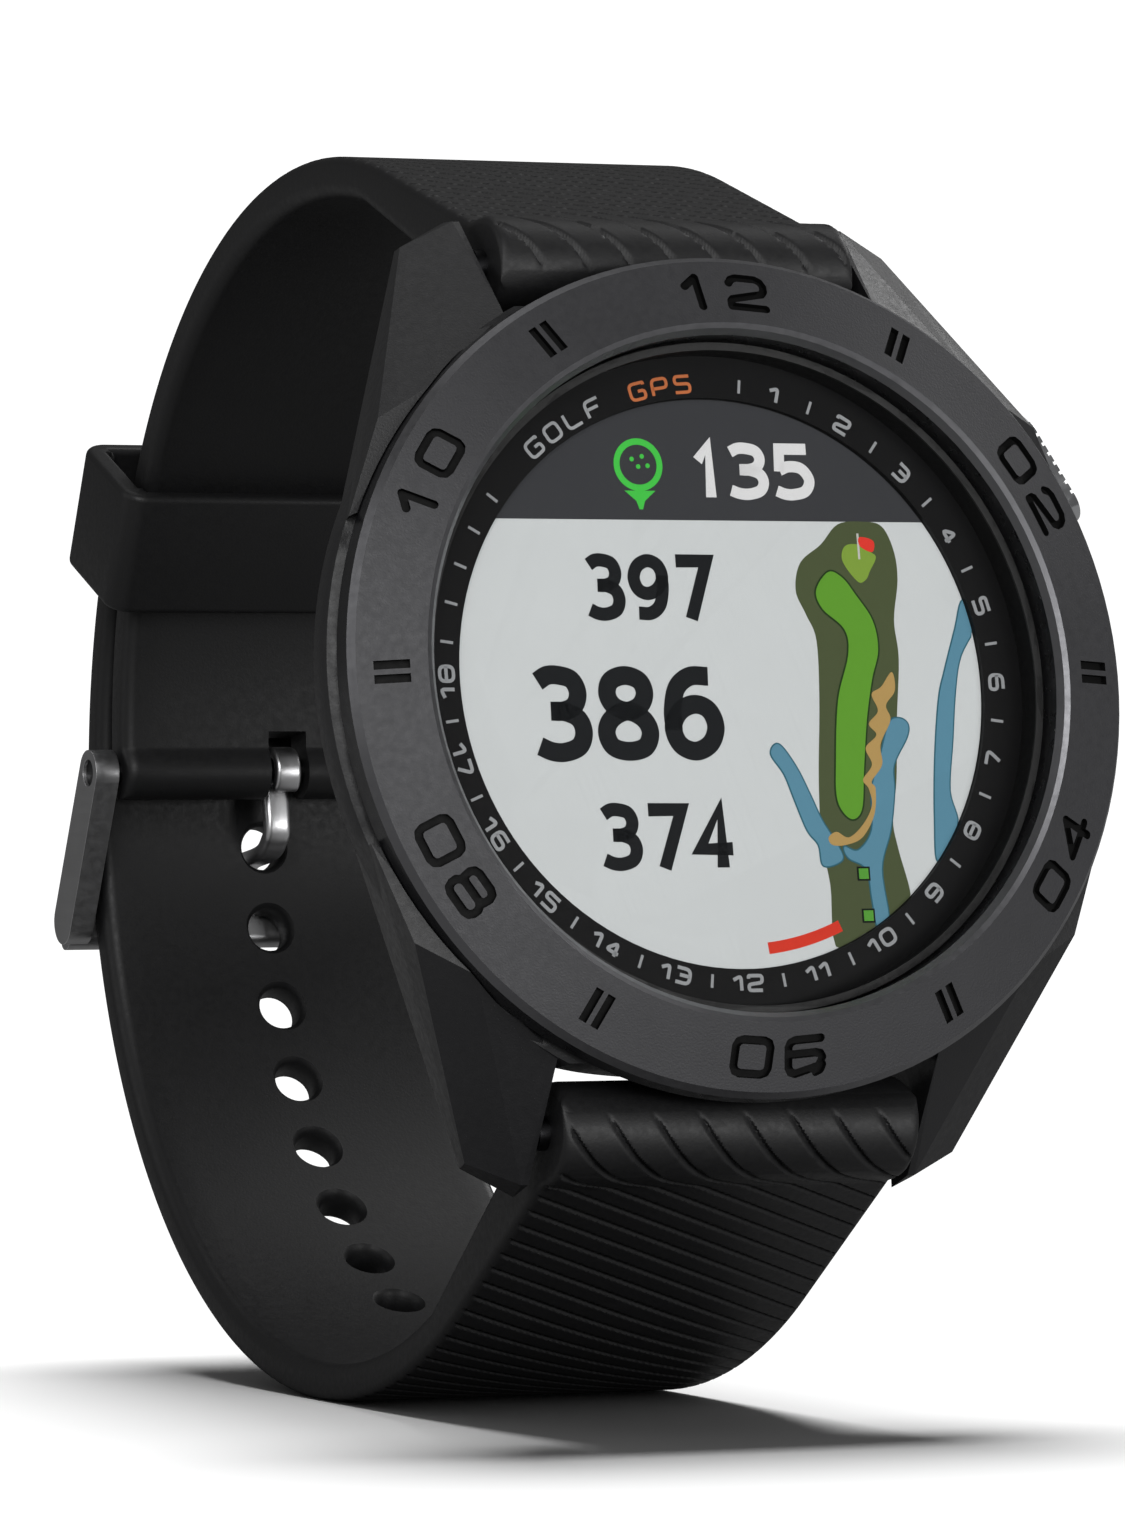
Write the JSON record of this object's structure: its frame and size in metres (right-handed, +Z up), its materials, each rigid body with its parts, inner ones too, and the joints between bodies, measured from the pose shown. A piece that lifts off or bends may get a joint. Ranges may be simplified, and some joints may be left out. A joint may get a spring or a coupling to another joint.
{
  "type": "golf gps watch",
  "caption": "Round sports watch with an hour-marked bezel, side push key, quick-release lugs and a grooved silicone strap closed by a pin buckle and keeper.",
  "frame": {"origin": "middle of the footprint's bounding box, on the surface that the strap loop stands on", "axes": "+Z up from that surface; +Y from the watch face towards the buckle; +X towards the side with the push key (3 o'clock); the face leans back 10 degrees from vertical"},
  "size_m": [0.0455, 0.0744, 0.0689],
  "materials": {
    "case_polymer": "fine moulded texture",
    "bezel_metal": "bead-blasted, anodised",
    "cover_glass": "polished, anti-reflection coated",
    "touch_film": "clear film",
    "ring_black": "satin",
    "display": "smooth",
    "seal_rubber": "matt",
    "plate_steel": "rolled",
    "flex_film": "smooth film",
    "board_green": "solder mask",
    "antenna_ceramic": "fired ceramic",
    "cell_foil": "foil pouch",
    "screw_steel": "turned",
    "contact_gold": "plated",
    "switch_black": "moulded",
    "key_silver": "polished",
    "spring_steel": "drawn wire",
    "pin_steel": "ground",
    "clip_steel": "stamped",
    "latch_steel": "stamped",
    "strap_silicone": "matt moulded silicone",
    "buckle_dark": "dark plated, satin",
    "tongue_silver": "polished"
  },
  "bodies": {
    "case": {"mid_case": "case_polymer", "bezel": "bezel_metal", "bezel_seal": "seal_rubber", "lens": "cover_glass", "lens_seal": "seal_rubber", "touch_layer": "touch_film", "chapter_ring": "ring_black", "display_module": "display", "display_plate": "plate_steel", "display_flex": "flex_film", "chassis": "case_polymer", "main_board": "board_green", "processor_shield": "plate_steel", "gps_antenna": "antenna_ceramic", "battery": "cell_foil", "battery_pad": "seal_rubber", "vibration_motor": "plate_steel", "back_cover": "case_polymer", "back_seal": "seal_rubber", "back_screws": "screw_steel", "charging_contacts": "contact_gold", "key_switch": "switch_black", "key_spring": "spring_steel", "upper_lug_pin": "pin_steel", "lower_lug_pin": "pin_steel"},
    "action_key": {"action_key": "key_silver", "key_seals": "seal_rubber", "key_clip": "plate_steel"},
    "upper_strap": {"upper_strap": "strap_silicone", "upper_strap_clip": "clip_steel", "upper_latch_spring": "spring_steel", "buckle_bar": "pin_steel"},
    "lower_strap": {"lower_strap": "strap_silicone", "lower_strap_clip": "clip_steel", "lower_latch_spring": "spring_steel"},
    "upper_latch": {"upper_release_latch": "latch_steel"},
    "lower_latch": {"lower_release_latch": "latch_steel"},
    "keeper": {"keeper": "strap_silicone"},
    "buckle_frame": {"buckle_frame": "buckle_dark"},
    "buckle_tongue": {"buckle_tongue": "tongue_silver"}
  },
  "joints": [
    {"name": "key_press", "type": "slide", "parent": "case", "child": "action_key", "axis": [-0.866, -0.0868, -0.4924], "range_m": [0, 0.0005], "stiffness_N_per_m": 1500, "springref_m": -0.0002, "deforming": ["key_spring"]},
    {"name": "upper_strap_hinge", "type": "hinge", "parent": "case", "child": "upper_strap", "pos_m": [0, -0.02201, 0.06189], "axis": [1, 0, 0], "range_deg": [0, 0.8]},
    {"name": "lower_strap_hinge", "type": "hinge", "parent": "case", "child": "lower_strap", "pos_m": [0, -0.03006, 0.0162], "axis": [1, 0, 0], "range_deg": [0, 0.8]},
    {"name": "upper_latch_slide", "type": "slide", "parent": "upper_strap", "child": "upper_latch", "axis": [0, 0.9606, 0.278], "range_m": [0, 0.0012], "stiffness_N_per_m": 400, "springref_m": -0.0005, "deforming": ["upper_latch_spring"]},
    {"name": "lower_latch_slide", "type": "slide", "parent": "lower_strap", "child": "lower_latch", "axis": [0, 0.8246, -0.5657], "range_m": [0, 0.0012], "stiffness_N_per_m": 400, "springref_m": -0.0005, "deforming": ["lower_latch_spring"]},
    {"name": "keeper_slide", "type": "hinge", "parent": "upper_strap", "child": "keeper", "pos_m": [0, 0.00022, 0.03594], "axis": [1, 0, 0], "range_deg": [-5, 8]},
    {"name": "buckle_frame_hinge", "type": "hinge", "parent": "upper_strap", "child": "buckle_frame", "pos_m": [0, 0.03046, 0.03462], "axis": [1, 0, 0], "range_deg": [0, 8]},
    {"name": "buckle_tongue_hinge", "type": "hinge", "parent": "upper_strap", "child": "buckle_tongue", "pos_m": [0, 0.03046, 0.03462], "axis": [1, 0, 0], "range_deg": [0, 8]}
  ],
  "couplings": [
    {"joint": "lower_strap_hinge", "follows": "upper_strap_hinge", "ratio": 1},
    {"joint": "buckle_tongue_hinge", "follows": "buckle_frame_hinge", "ratio": 1}
  ]
}
